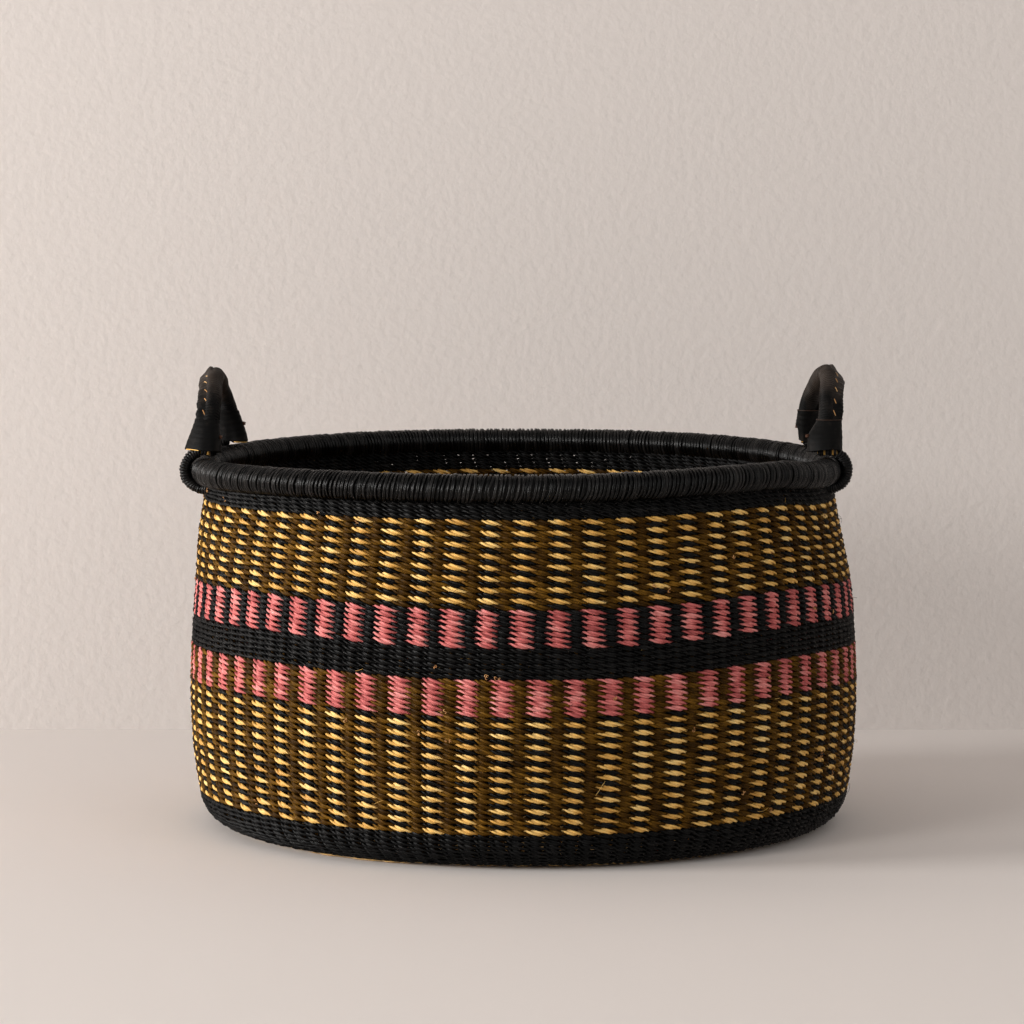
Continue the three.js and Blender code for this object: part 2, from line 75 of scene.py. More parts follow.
# Rim
RIM_HEIGHT = 257.6
RIM_OUTSET = 3.1
ROLL_RADIUS = 10.2
NECK_DEPTH = 20.8
NECK_ROWS = 5  # the first is inside the roll
NECK_OVERLAP = 0.4  # how far its second row reaches past the top of the wall
WALL_TOP_HEIGHT = 248.7
RIM_DIP = 2.8  # towards the handles, between these two heights
DIP_START = 150
DIP_END = 235
FLANK_RISE = 3.9  # of the rows between the front or back and the handles
FLANK_SKEW = 0.2
FLANK_PEAK = 5.38  # brings the top of its curve to one
FLANK_FULL_HEIGHT = 90
FLANK_FADE_START = 180
FLANK_FADE_END = 236
FRONT_LIFT = 3.0  # of the rim on the right of the front, between these two heights
LIFT_START = 170
LIFT_END = 232
LIFT_FADE_START = 0.8  # as a part of the radius, where the lift ends towards the handle
LIFT_FADE_LENGTH = 0.15
MOUTH_SWAY = 2.8  # of the mouth, and then of the roll, to the left
SWAY_START = 165
SWAY_END = 225
ROLL_SWAY = 2.6
ROLL_SWAY_START = 238
ROLL_SWAY_END = 247

# Handles
ARCH_HALF_SPAN = 64
ARCH_RISE = 66
LEFT_LEAN = math.radians(4.5)
COLLAR_TOP = 36
COLLAR_HEM = 15.4
ANCHOR_ARC_RADIUS = 15.4
KNOT_ANGLE = math.radians(-149)
ROPE_RADIUS = 1.55
ROPE_IN_SLEEVE = 3.7
ROPE_LAY = 9  # length in which the strands of the rope turn by one radian
ROPE_TOP = math.radians(60)  # of its bend round the roll, and then the end of that bend
ROPE_END = math.radians(-136)
WINDING_ARC_RADIUS = 14.6
WINDING_DRAWN_IN = 1.9  # how much closer to the roll it lies under it
WINDING_TURNS = 23
WINDING_TOP = 66  # in degrees, as the two below
WINDING_END = -106
WINDING_SLANT = 4.5
WINDING_REACH = 3.2
WINDING_SPREAD = 0.24
CORD_RADIUS = 1.05
SLEEVE_FOOT = 24  # height of both ends of the sleeve, inside the collars
SLEEVE_OFFSET = -1.6  # the tube of leather lies inward of the arch, and its seam outward
SLEEVE_ACROSS = 6.0
SLEEVE_ALONG = 6.1
SLEEVE_BORE_ACROSS = 4.3
SLEEVE_BORE_ALONG = 4.6
WRINKLE_LENGTH = 2.3
WRINKLE_DEPTH = 0.3
PEAK_HEIGHT = 3.4  # of the fold that stands up from the seam at the top of the arch
PEAK_WIDTH = 0.1
BENDS = {  # outward, at equal steps from the foot on the +Y side to the other
    "left": (0.5, -0.2, -2.0, -1.0, 2.2, 5.0, 3.6, 2.3),
    "right": (7.5, 4.6, 4.0, 3.4, 2.2, 0.6, 0.0, 0.0),
}
SLUMPS = {"left": 2.2, "right": 0.0}  # how much lower the top of the arch is
STITCHES = 12  # that show along the seam of one handle
COLLAR_THICKNESS = 1.0
COLLAR_LAP = 0.6
HEM_SAG = 1.5
COLLAR_FLARES = {  # outward, inward, and the part of the cuff's height over which it opens
    "left_front": (5.5, 1.5, 1.0),
    "left_back": (2.0, 4.5, 1.0),
    "right_front": (0.8, 6.1, 0.55),
    "right_back": (1.6, -3.2, 1.0),
}
TIE_HEIGHTS = {"left_front": 24.8, "left_back": 26.5, "right_front": 24.8, "right_back": 23.6}

# Twining
ROW_PITCH = 3.68
BANDS = {  # rows of each band from the rim down, and how loosely they lie
    "upper_gold": (16, 1.025),
    "upper_pink": (7, 0.99),
    "middle_black": (6, 0.965),
    "lower_pink": (7, 0.965),
    "lower_gold": (22, 1.0),
    "foot": (9, 1.0),
}
WALL_STAKES = 124
MIDDLE_STAKES = 64
CENTRE_STAKES = 32
HEART_STAKES = 16
STAKE_RADIUS = 1.9
STAKE_LEAN = 0.016  # how far a stake drifts sideways for each length that it climbs
STAKE_LEAN_START = 40  # length of the corner over which the lean begins
STAKE_TWIST = 3.6  # and how far they turn round in the sway of the mouth
STAKE_DRIFT = 0.05  # how far each stands from its place, in steps between stakes
STAKE_WANDER = 0.09  # and how much that changes on its way down
STITCH_STEPS = 6  # rings of a strand from one stake to the next
BASE_STITCH_STEPS = 4
STRAND_SWING = 1.95  # in and out of the wall, from the middle of the stakes
CROSSING_SWELL = 0.2  # the strands spread where they cross between two stakes
STRAND_DROP = 1.0  # up and down, as the two strands turn about each other
PLY_RADIUS = 0.95
PLY_REACH = 1.07  # from the middle of a strand to the middle of each of its two plies
PLY_WAIST = 0.03
GIRTH_SPREAD = 0.06  # how uneven the strands are from stitch to stitch
RISE_SPREAD = 0.17
REACH_SPREAD = 0.13
TWIST_SPREAD = 0.2
PARTNER_SIZE = 1.04  # the strands behind the coloured ones are a little thicker


def smooth(part):
    part = np.clip(part, 0, 1)
    return part * part * (3 - 2 * part)


def risen(value, start, end):
    """Zero before the start and one after the end, smooth in between."""
    return smooth((value - start) / (end - start))


# Outline of the wall, followed by its length from the middle of the base, as in the solids
corner_top = CORNER_RADIUS * (1 - math.sin(CORNER_LEAN))
lower_curve_radius = (BELLY_HEIGHT - corner_top) / math.sin(CORNER_LEAN)
lower_bulge = lower_curve_radius * (1 - math.cos(CORNER_LEAN))
flat_radius = BODY_RADIUS - lower_bulge - CORNER_RADIUS * math.cos(CORNER_LEAN)
corner_end = flat_radius + CORNER_RADIUS * (math.pi / 2 - CORNER_LEAN)
belly_place = corner_end + lower_curve_radius * CORNER_LEAN


def wall_point(place, depth):
    """Radius and height at lengths along the outline and depths under its outer face."""
    curve = np.where(place <= belly_place, lower_curve_radius, UPPER_CURVE_RADIUS)
    turn = (place - belly_place) / curve
    radius = BODY_RADIUS - curve + (curve - depth) * np.cos(turn)
    height = BELLY_HEIGHT + (curve - depth) * np.sin(turn)
    corner = (place - flat_radius) / CORNER_RADIUS
    in_corner = place <= corner_end
    radius = np.where(in_corner, flat_radius + (CORNER_RADIUS - depth) * np.sin(corner), radius)
    height = np.where(in_corner, CORNER_RADIUS - (CORNER_RADIUS - depth) * np.cos(corner), height)
    flat = place <= flat_radius
    return np.where(flat, place, radius), np.where(flat, depth, height)


def middle_depth(place):
    """Depth of the stakes under the outer face."""
    return WALL_MIDDLE + BASE_LIFT * (1 - smooth((place - flat_radius) / BASE_LIFT_FADE))


def place_at_height(height):
    return belly_place + UPPER_CURVE_RADIUS * math.asin((height - BELLY_HEIGHT) / UPPER_CURVE_RADIUS)


def dip_at(azimuth, height):
    """How far the weave sinks: down at the handles near the rim, and up on the flanks."""
    across = np.cos(azimuth)
    dip = RIM_DIP * across**4 * risen(height, DIP_START, DIP_END)
    flank = FLANK_PEAK * np.abs(across) ** 3 * (1 - across**2) * (1 + FLANK_SKEW * across)
    fade = 1 - risen(height, FLANK_FADE_START, FLANK_FADE_END)
    rise = FLANK_RISE * flank * fade * smooth(height / FLANK_FULL_HEIGHT)
    return dip - rise - front_lift(azimuth, height)


def front_lift(azimuth, height):
    """How much higher the rim and the rows under it stand on the right of the front."""
    across = np.clip(np.cos(azimuth), 0, 1)
    fade = 1 - smooth((across - LIFT_FADE_START) / LIFT_FADE_LENGTH)
    flank = FLANK_PEAK * across**3 * (1 - across**2) * fade
    front = smooth(-2 * np.sin(azimuth))
    return FRONT_LIFT * flank * front * risen(height, LIFT_START, LIFT_END)


def sway_at(height):
    """How far the basket stands over to the right. It leans the other way, so this is negative."""
    mouth = MOUTH_SWAY * risen(height, SWAY_START, SWAY_END)
    return -mouth - ROLL_SWAY * risen(height, ROLL_SWAY_START, ROLL_SWAY_END)


def on_wall(place, depth, azimuth):
    radius, height = wall_point(place, depth)
    across = radius * np.cos(azimuth) + sway_at(height)
    return np.stack([across, radius * np.sin(azimuth), height - dip_at(azimuth, height)], -1)


wall_top = place_at_height(WALL_TOP_HEIGHT)
sway_start = place_at_height(SWAY_START)
sway_end = place_at_height(SWAY_END)
bands_top = place_at_height(RIM_HEIGHT) - NECK_DEPTH
rim_radius = float(wall_point(wall_top, WALL_MIDDLE)[0]) + RIM_OUTSET


# Shader maths
class Value:
    """One socket of a shader, so that sums on sockets read as sums."""

    def __init__(self, recipe, socket):
        self.recipe = recipe
        self.socket = socket

    def math(self, operation, first, second):
        return self.recipe.add("Math", {"operation": operation}, {0: first, 1: second})

    def __add__(self, other):
        return self.math("ADD", self, other)

    def __sub__(self, other):
        return self.math("SUBTRACT", self, other)

    def __rsub__(self, other):
        return self.math("SUBTRACT", other, self)

    def __mul__(self, other):
        return self.math("MULTIPLY", self, other)


class Recipe:
    """The node tree of one material."""

    def __init__(self, name):
        self.material = bpy.data.materials.new(name)
        self.material.use_nodes = True
        self.tree = self.material.node_tree
        self.tree.nodes.clear()

    def add(self, kind, settings, inputs, output=0):
        """Any node, from its type, its settings, and the values or links of its sockets."""
        node = self.tree.nodes.new("ShaderNode" + kind)
        for name, value in settings.items():
            setattr(node, name, value)
        for name, value in inputs.items():
            if isinstance(value, Value):
                self.tree.links.new(value.socket, node.inputs[name])
            else:
                node.inputs[name].default_value = value
        return Value(self, node.outputs[output])

    def ramp(self, value, stops):
        colour = self.add("ValToRGB", {}, {0: value})
        elements = colour.socket.node.color_ramp.elements
        while len(elements) < len(stops):
            elements.new(1)
        for element, (place, shade) in zip(elements, stops):
            element.position = place
            element.color = (*shade, 1)
        return colour

    def grain(self, along, across):
        """Place on a piece's own grain, in millimetres, stretched by these two factors."""
        uv = self.add("UVMap", {"uv_map": "grain"}, {})
        return self.add("VectorMath", {"operation": "MULTIPLY"}, {0: uv, 1: (along, across, 1)})

    def noise(self, place, scale=1.0, detail=2.0, roughness=0.5):
        sockets = {"Vector": place, "Scale": scale, "Detail": detail, "Roughness": roughness}
        return self.add("TexNoise", {}, sockets)

    def tone(self):
        """The number that every stitch, turn or blade has of its own: random, except on the leather of the
        handles, where it paints a sheen on the top of the arch.
        """
        return self.add("Attribute", {"attribute_name": "tone"}, {}, output="Fac")

    def bump(self, height, depth):
        """Relief as high as depth in millimetres."""
        return self.add("Bump", {}, {"Height": height, "Distance": depth * MILLIMETRE})

    def finish(self, shader):
        end = self.tree.nodes.new("ShaderNodeOutputMaterial")
        self.tree.links.new(shader.socket, end.inputs["Surface"])
        return self.material


def grass(name, dark, middle, light, roughness, specular, uneven=0.34):
    """Split grass: long fine fibres, with the dye uneven from stitch to stitch."""
    recipe = Recipe(name)
    fibre = recipe.noise(recipe.grain(0.14, 3.4), detail=3.0, roughness=0.65)
    streak = recipe.noise(recipe.grain(0.03, 0.6))
    shade = fibre * 0.95 + streak * 0.3 + recipe.tone() * uneven - 0.13 - uneven * 0.5
    colour = recipe.ramp(shade, [(0.2, dark), (0.5, middle), (0.8, light)])
    shader = recipe.add("BsdfPrincipled", {}, {
        "Base Color": colour,
        "Roughness": (roughness + 0.1) - fibre * 0.2,
        "Specular IOR Level": specular,
        "Normal": recipe.bump(fibre, 0.14),
    })
    return recipe.finish(shader)


def leather(name):
    """Thin black leather, with fine pores and soft creases, lighter where its tone is high: a painted sheen
    on the top of the handles, with uneven rubbing from the noise.
    """
    recipe = Recipe(name)
    pores = recipe.noise(recipe.grain(2.4, 2.4), detail=2.0)
    creases = recipe.noise(recipe.grain(0.55, 0.05), detail=3.0, roughness=0.55)
    # The tone lifts the colour towards grey, which paints the sheen on the top of the arch; the noise adds
    # uneven rubbing.
    rubbing_and_sheen = recipe.noise(recipe.grain(0.06, 0.09), detail=3.0) + recipe.tone() * 0.5 - 0.25
    colour = recipe.ramp(rubbing_and_sheen, [(0.3, (0.0012, 0.001, 0.0009)), (0.75, (0.028, 0.021, 0.017))])
    shader = recipe.add("BsdfPrincipled", {}, {
        "Base Color": colour,
        "Roughness": 0.68 - rubbing_and_sheen * 0.28 + pores * 0.06,
        "Specular IOR Level": 0.11,
        "Normal": recipe.bump(creases * 0.75 + pores * 0.25, 0.4),
    })
    return recipe.finish(shader)


def plaster(name, colour, one_sided):
    """Plain pale stage. A one-sided wall is seen only from the front, so it hides nothing behind it."""
    recipe = Recipe(name)
    place = recipe.add("TexCoord", {}, {}, output="Object")
    relief = recipe.noise(place, scale=130.0, detail=3.0)
    shader = recipe.add("BsdfPrincipled", {}, {
        "Base Color": (*colour, 1),
        "Roughness": 0.8,
        "Specular IOR Level": 0.2,
        "Normal": recipe.bump(relief, 0.5 if one_sided else 0.05),
    })
    if one_sided:
        behind = recipe.add("NewGeometry", {}, {}, output="Backfacing")
        clear = recipe.add("BsdfTransparent", {}, {})
        shader = recipe.add("MixShader", {}, {0: behind, 1: shader, 2: clear})
    return recipe.finish(shader)


# Meshes
def add_object(name, data):
    thing = bpy.data.objects.new(name, data)
    bpy.context.scene.collection.objects.link(thing)
    return thing


def skin(name, tubes, material, body, looped=False, tone=None, stands_for=()):
    """One piece made of tubes of equal build: an array of tube, ring, side and x, y, z.

    Looped tubes close on themselves, and the others get an end face at both ends. The map called
    grain runs along and around each tube in millimetres, and the map called OFBake gives every
    face a cell of its own.
    """
    tubes = np.asarray(tubes, float)
    count, rings, sides, _ = tubes.shape
    lengths = rings if looped else rings - 1
    tube, ring, side = np.meshgrid(
        np.arange(count), np.arange(lengths), np.arange(sides), indexing="ij"
    )
    ring_steps = np.array([0, 0, 1, 1])
    side_steps = np.array([0, 1, 1, 0])
    ring_ends = ring[..., None] + ring_steps
    side_ends = side[..., None] + side_steps
    corners = (tube[..., None] * rings + ring_ends % rings) * sides + side_ends % sides

    # Tubes that came out inside out are turned
    points = (tubes - tubes.mean((1, 2), keepdims=True)).reshape(-1, 3)
    a, b, c, d = (points[corners[..., k]] for k in range(4))
    volume = np.sum(a * (np.cross(b, c) + np.cross(c, d)), axis=(1, 2, 3))
    wrong = volume < 0
    corners[wrong] = corners[wrong][..., ::-1]
    ring_ends[wrong] = ring_ends[wrong][..., ::-1]
    side_ends[wrong] = side_ends[wrong][..., ::-1]

    # Map for the bake: equal cells, side by side in rows
    cell = tube * lengths + ring
    columns = math.ceil(math.sqrt(count * lengths * sides))
    rows = math.ceil(count * lengths / columns) + 1
    ring_part = ring_ends - ring[..., None]
    bake_u = ((cell % columns)[..., None] + ring_part) / columns
    bake_v = ((cell // columns)[..., None] + side_ends / sides) / rows

    # Map for the grain
    middles = tubes.mean(2)
    steps = np.linalg.norm(np.roll(middles, -1, axis=1) - middles, axis=-1)
    along = np.concatenate([np.zeros((count, 1)), np.cumsum(steps, axis=1)], axis=1)
    rim_steps = np.linalg.norm(np.roll(tubes, -1, axis=2) - tubes, axis=-1)
    girth = rim_steps.sum(2).mean(1)
    apart = 11.7  # how far the grain of the next tube is from this one's
    grain_u = along[tube[..., None], ring_ends] + tube[..., None] * apart
    grain_v = side_ends / sides * girth[tube[..., None]] + tube[..., None] * apart

    loops = [corners.reshape(-1)]
    bake = [np.stack([bake_u, bake_v], -1).reshape(-1, 2)]
    grain = [np.stack([grain_u, grain_v], -1).reshape(-1, 2)]
    sizes = [np.full(corners[..., 0].size, 4)]
    if not looped:
        around = np.arange(sides)
        for last in (False, True):
            order = np.where((wrong != last)[:, None], around, around[::-1])
            base = (np.arange(count) * rings + (rings - 1 if last else 0)) * sides
            loops.append((base[:, None] + order).reshape(-1))
            angle = TURN * order / sides
            middle_u = (np.arange(count)[:, None] + (0.75 if last else 0.25)) / count
            cap_u = middle_u + np.cos(angle) * 0.2 / count
            cap_v = (rows - 0.5 + 0.4 * np.sin(angle)) / rows
            bake.append(np.stack([cap_u, cap_v], -1).reshape(-1, 2))
            grain.append(np.stack([np.cos(angle), np.sin(angle)], -1).reshape(-1, 2))
            sizes.append(np.full(count, sides))
    loops = np.concatenate(loops)
    sizes = np.concatenate(sizes)

    mesh = bpy.data.meshes.new(name)
    mesh.vertices.add(count * rings * sides)
    mesh.vertices.foreach_set("co", (tubes * MILLIMETRE).astype(np.float32).reshape(-1))
    mesh.loops.add(len(loops))
    mesh.loops.foreach_set("vertex_index", loops.astype(np.int32))
    mesh.polygons.add(len(sizes))
    starts = np.concatenate([[0], np.cumsum(sizes)[:-1]])
    mesh.polygons.foreach_set("loop_start", starts.astype(np.int32))
    mesh.polygons.foreach_set("use_smooth", sizes == 4)
    mesh.update(calc_edges=True)
    for map_name, places in (("OFBake", bake), ("grain", grain)):
        layer = mesh.uv_layers.new(name=map_name)
        layer.uv.foreach_set("vector", np.concatenate(places).astype(np.float32).reshape(-1))
    shade = np.full((count, rings), 0.5) if tone is None else np.broadcast_to(tone, (count, rings))
    attribute = mesh.attributes.new("tone", "FLOAT", "POINT")
    attribute.data.foreach_set("value", np.repeat(shade.reshape(-1), sides).astype(np.float32))
    mesh.materials.append(material)

    piece = add_object(name, mesh)
    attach(piece, body)
    if stands_for:
        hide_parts(*stands_for)


def eased(values, place):
    """Values at whole numbers, joined smoothly in between. The last joins the first."""
    whole = np.floor(place).astype(int)
    part = smooth(place - whole)
    count = values.shape[-1]
    return values[..., whole % count] * (1 - part) + values[..., (whole + 1) % count] * part


def jitter(spread, shape, place, mean=0):
    """Random numbers about a mean, one for every stitch or turn, joined smoothly."""
    return eased(random.normal(mean, spread, shape), place)


def two_plies(radius, reach, waist):
    """Section of two plies laid together, as points x through both and y across them."""
    angle = np.radians([-122, -42, 42, 122])
    ply = np.stack([reach + radius * np.cos(angle), radius * np.sin(angle)], -1)
    return np.concatenate([ply, [(0, waist)], -ply, [(0, -waist)]])


def full_turn(steps):
    return TURN * np.arange(steps) / steps


def circle(sides, across=1.0, along=1.0):
    angle = full_turn(sides)
    return np.stack([across * np.cos(angle), along * np.sin(angle)], -1)


def frames_along(path, side):
    """Two directions across a path at each of its points, carried along it without twisting."""
    ahead = np.roll(path, -1, axis=0)
    behind = np.roll(path, 1, axis=0)
    ahead[-1] = path[-1]
    behind[0] = path[0]
    along = ahead - behind
    along /= np.linalg.norm(along, axis=1, keepdims=True)
    sides = []
    for direction in along:
        side = side - direction * (side @ direction)
        side = side / np.linalg.norm(side)
        sides.append(side)
    sides = np.array(sides)
    return sides, np.cross(along, sides)


def tube_along(path, section, side=(0.0, 0.0, 1.0), size=1.0, turn=0.0):
    """Rings of a section carried along a path, scaled and turned about it."""
    path = np.asarray(path, float)
    sides, ups = frames_along(path, np.array(side, float))
    turn = np.broadcast_to(turn, len(path))[:, None]
    size = np.broadcast_to(size, len(path))[:, None]
    x = size * (section[:, 0] * np.cos(turn) - section[:, 1] * np.sin(turn))
    y = size * (section[:, 0] * np.sin(turn) + section[:, 1] * np.cos(turn))
    return path[:, None] + x[..., None] * sides[:, None] + y[..., None] * ups[:, None]


def closed_tube(path, section):
    return tube_along(np.concatenate([path, path[:1]]), section)[:-1]


def length_along(path):
    """Length from the first point of a path to each of its points."""
    steps = np.linalg.norm(np.diff(path, axis=0), axis=1)
    return np.concatenate([[0], np.cumsum(steps)])


# Stakes: every one leans and wanders a little
random = np.random.default_rng(41)
stake_drift = random.normal(0, STAKE_DRIFT, WALL_STAKES)
stake_wander = random.normal(0, STAKE_WANDER, WALL_STAKES)


def stake_azimuth(number, place, stakes):
    """Azimuth of a place between the stakes, given as a number of stakes from the front."""
    climb = (place - bands_top) / bands_top
    step = TURN / stakes
    spread = stakes / WALL_STAKES
    shift = eased(stake_drift, number / spread) + eased(stake_wander, number / spread) * climb
    lean = STAKE_LEAN * (place - bands_top) * smooth((place - flat_radius) / STAKE_LEAN_START)
    twist = STAKE_TWIST * risen(place, sway_start, sway_end)
    return FRONT + (number + shift) * step + (lean + twist) / BODY_RADIUS


def stake_tubes(stakes, start, end, width, steps):
    number = np.arange(stakes)[:, None]
    place = np.linspace(start, end, steps)[None, :]
    section = circle(6, 1.0, width)
    middle = stake_azimuth(number + 0.0 * place, place, stakes)
    azimuth = middle[..., None] + section[:, 1] / np.maximum(place, 12)[..., None]
    depth = middle_depth(place)[..., None] - section[:, 0] + 0 * azimuth
    return on_wall(place[..., None] + 0 * azimuth, depth, azimuth)


# Twined strands
strand_section = two_plies(PLY_RADIUS, PLY_REACH, PLY_WAIST)


def twined(places, phases, stakes, steps=STITCH_STEPS, size=1.0):
    """Strands of whole rows: rings of each strand, and the tone of each ring.

    A strand passes outside every second stake and inside the next, and turns about its partner
    once in two stakes. Its own two plies turn with it, so each stitch is a leaf of two halves.
    """
    rows = len(places)
    number = np.arange(stakes * steps) / steps
    turn = math.pi * (number - np.broadcast_to(phases, rows)[:, None])
    spread = 1 + CROSSING_SWELL * np.sin(turn) ** 4
    shape = (rows, stakes)
    girth = size * spread * (1 + jitter(GIRTH_SPREAD, shape, number))
    rise = jitter(RISE_SPREAD, shape, number)
    reach = jitter(REACH_SPREAD, shape, number)
    twist = jitter(TWIST_SPREAD, shape, number)
    tone = eased(random.random(shape), number + 0.5)
    out = size * STRAND_SWING * np.cos(turn) + reach
    up = size * -STRAND_DROP * np.sin(turn) + rise
    lobe = math.pi / 2 - turn + twist
    x, y = strand_section.T
    girth, cosine, sine = (value[..., None] for value in (girth, np.cos(lobe), np.sin(lobe)))
    out = out[..., None] + girth * (cosine * x - sine * y)
    up = up[..., None] + girth * (sine * x + cosine * y)
    place = np.asarray(places, float)[:, None, None]
    azimuth = stake_azimuth(number, place[..., 0], stakes)[..., None]
    return on_wall(place + up, middle_depth(place) - out, azimuth + 0 * up), tone


def rows_from(top, count, looseness=1.0):
    """Places of a band's rows, laid down from its top, and of its bottom."""
    pitch = ROW_PITCH * looseness
    return top - (np.arange(count) + 0.5) * pitch, top - count * pitch


def both(rows):
    """The same rows twice, with the phases of their two strands."""
    return np.repeat(rows, 2), np.tile([0, 1], len(rows))


def weave(name, places, phases, material, slot, node, stakes=WALL_STAKES, steps=STITCH_STEPS, size=1.0):
    tubes, tone = twined(places, phases, stakes, steps, size)
    return skin(name, tubes, material, "basket", looped=True, tone=tone, stands_for=[node])


def lay_gold_rows(level, rows, start):
    """Gold and black strands in turn, each with a brown partner.

    The start is 0 or 1: the first row of gold, and which of the row's two strands it is.
    """
    node = f"{level}_gold_band"
    gold_rows = rows[start::2]
    black_rows = rows[1 - start::2]
    weave(f"{level}_gold_strands", gold_rows, start, gold_straw, "gold_weave", node)
    weave(f"{level}_black_strands", black_rows, start, black_grass, "black_grass", node,
          size=PARTNER_SIZE)
    half = len(rows) // 2
    for part, brown_rows in (("high", rows[:half]), ("low", rows[half:])):
        weave(f"{level}_brown_strands_{part}", brown_rows, 1 - start, brown_grass, "gold_weave", node,
              size=PARTNER_SIZE)


def lay_pink_rows(level, rows, phase, partner, slot):
    node = f"{level}_pink_band"
    weave(f"{level}_pink_strands", rows, phase, pink_grass, "pink_weave", node)
    weave(f"{level}_pink_partners", rows, 1 - phase, partner, slot, node, size=PARTNER_SIZE)


def lay_bands():
    """The wall, from the rim down. Each row twines the band's strand with a partner."""
    neck_top = wall_top + NECK_OVERLAP
    neck_pitch = (neck_top - bands_top) / (NECK_ROWS - 1)
    neck_rows, _ = rows_from(neck_top + neck_pitch, NECK_ROWS, neck_pitch / ROW_PITCH)
    weave("neck_strands", *both(neck_rows), black_grass, "black_grass", "neck_band", size=1.02)

    rows = {}
    bottom = bands_top
    for name, (count, looseness) in BANDS.items():
        rows[name], bottom = rows_from(bottom, count, looseness)
    lay_gold_rows("upper", rows["upper_gold"], 0)
    lay_pink_rows("upper", rows["upper_pink"], 0, black_grass, "black_grass")
    weave("middle_black_strands", *both(rows["middle_black"]), black_grass, "black_grass",
          "middle_black_band", size=0.93)
    lay_pink_rows("lower", rows["lower_pink"], 1, brown_grass, "gold_weave")
    lay_gold_rows("lower", rows["lower_gold"], 1)
    parts = [("strands_high", 0, 5, 1.0), ("strands_low", 5, 8, 0.9), ("last_strands", 8, 9, 0.82)]
    for name, first, end, size in parts:
        weave(f"foot_{name}", *both(rows["foot"][first:end]), black_grass, "black_grass",
              "base_edge_band", size=size)
    return bottom


def lay_base(edge):
    """The base, woven in undyed grass, with fewer stakes towards the middle."""
    rings = [
        ("rim", BASE_RIM_RADIUS, WALL_STAKES, "base_outer"),
        ("outer", BASE_MIDDLE_RADIUS, WALL_STAKES, "base_outer"),
        ("middle", BASE_CENTRE_RADIUS, MIDDLE_STAKES, "base_middle"),
        ("centre", BASE_HEART_RADIUS, CENTRE_STAKES, "base_centre"),
        ("heart", BASE_HOLE_RADIUS, HEART_STAKES, "base_centre"),
    ]
    outer = edge
    for name, inner, stakes, node in rings:
        count = round((outer - inner) / ROW_PITCH)
        rows, _ = rows_from(outer, count, (outer - inner) / count / ROW_PITCH)
        weave(f"base_{name}_strands", *both(rows), undyed_grass, "undyed_grass", node,
              stakes, BASE_STITCH_STEPS, size=0.8)
        outer = inner


def show_foot_straw():
    """Strand of the base that has slipped out under the foot on the left of the front.

    It shows in short stretches, and tapers at both ends.
    """
    start = 44  # degrees to the left of the front, as the end
    end = 21
    part = np.linspace(0, 1, 90)
    azimuth = FRONT - np.radians(start - (start - end) * part)
    shown = smooth(0.7 + 1.5 * np.sin(TURN * (4.3 * part + 0.4 * np.sin(7 * part))))
    taper = np.minimum(1, 8 * np.minimum(part, 1 - part))
    size = taper * (0.15 + 0.45 * shown) + 0.1
    path = on_wall(flat_radius + 6 + 0 * part, 0.35 + 0 * part, azimuth)
    strand = tube_along(path, circle(6, 0.75, 0.75), size=size)
    skin("foot_straw", strand[None], undyed_grass, "basket", tone=0.1)


def set_stakes():
    """Stakes of the wall, and the fewer ones of the base, each set starting inside the last."""
    wall = stake_tubes(WALL_STAKES, BASE_MIDDLE_RADIUS - 3, wall_top + 5, STAKE_RADIUS, 44)
    skin("wall_stakes", wall, brown_grass, "basket")
    sets = [
        ("middle", MIDDLE_STAKES, BASE_CENTRE_RADIUS - 3, BASE_MIDDLE_RADIUS, STAKE_RADIUS, 10),
        ("centre", CENTRE_STAKES, BASE_HEART_RADIUS - 2, BASE_CENTRE_RADIUS, 1.7, 6),
        ("heart", HEART_STAKES, BASE_HOLE_RADIUS / 2, BASE_HEART_RADIUS, 1.2, 5),
    ]
    for name, *sizes in sets:
        skin(f"base_{name}_stakes", stake_tubes(*sizes), undyed_grass, "basket")


# Cut ends and stray fibres that stand out of the weave
CURL_CLUSTERS = 60
CURLS_IN_CLUSTER = 3
FIBRES = 200
DARK_FIBRES = 170


def curl_cut_ends():
    """Short cut ends of straw, curled up in small clusters, more of them near the rim."""
    ends = []
    for _ in range(CURL_CLUSTERS):
        place = wall_top - random.random() ** 1.3 * (wall_top - corner_end)
        azimuth = TURN * random.random()
        for _ in range(CURLS_IN_CLUSTER):
            curl = 0.45 + 0.4 * random.random()
            part = np.linspace(0, 1, 7)
            angle = TURN * random.random() + part * 4.4
            spots = place + random.normal(0, 0.9) + curl * np.sin(angle)
            turns = azimuth + (random.normal(0, 0.9) + curl * np.cos(angle)) / BODY_RADIUS
            path = on_wall(spots, -0.5 - 0.9 * part, turns)
            ends.append(tube_along(path, circle(5, 0.27, 0.22)))
    skin("cut_ends", ends, curled_straw, "basket", tone=random.random((len(ends), 1)))


def raise_fibres():
    """Thin fibres that arch out of the weave, most of them dark."""
    fibres = []
    for _ in range(FIBRES):
        place = wall_top - random.random() * (wall_top - corner_end)
        azimuth = TURN * random.random()
        length = 4 + 9 * random.random() ** 2
        heading = random.normal(0, 0.6) + math.pi * random.integers(2)
        rise = 0.3 + 2.6 * random.random() ** 2
        part = np.linspace(0, 1, 7)
        bend = random.normal(0, 1.6) * part**2
        spots = place + length * part * math.sin(heading) + bend
        turns = azimuth + length * part * math.cos(heading) / BODY_RADIUS
        path = on_wall(spots, -0.6 - rise * np.sin(2.3 * part), turns)
        fibres.append(tube_along(path, circle(4, 0.11, 0.11)))
    fibres = np.array(fibres)
    tone = random.random((FIBRES, 1))
    skin("dark_stray_fibres", fibres[:DARK_FIBRES], black_grass, "basket",
         tone=tone[:DARK_FIBRES])
    skin("pale_stray_fibres", fibres[DARK_FIBRES:], gold_straw, "basket",
         tone=tone[DARK_FIBRES:])


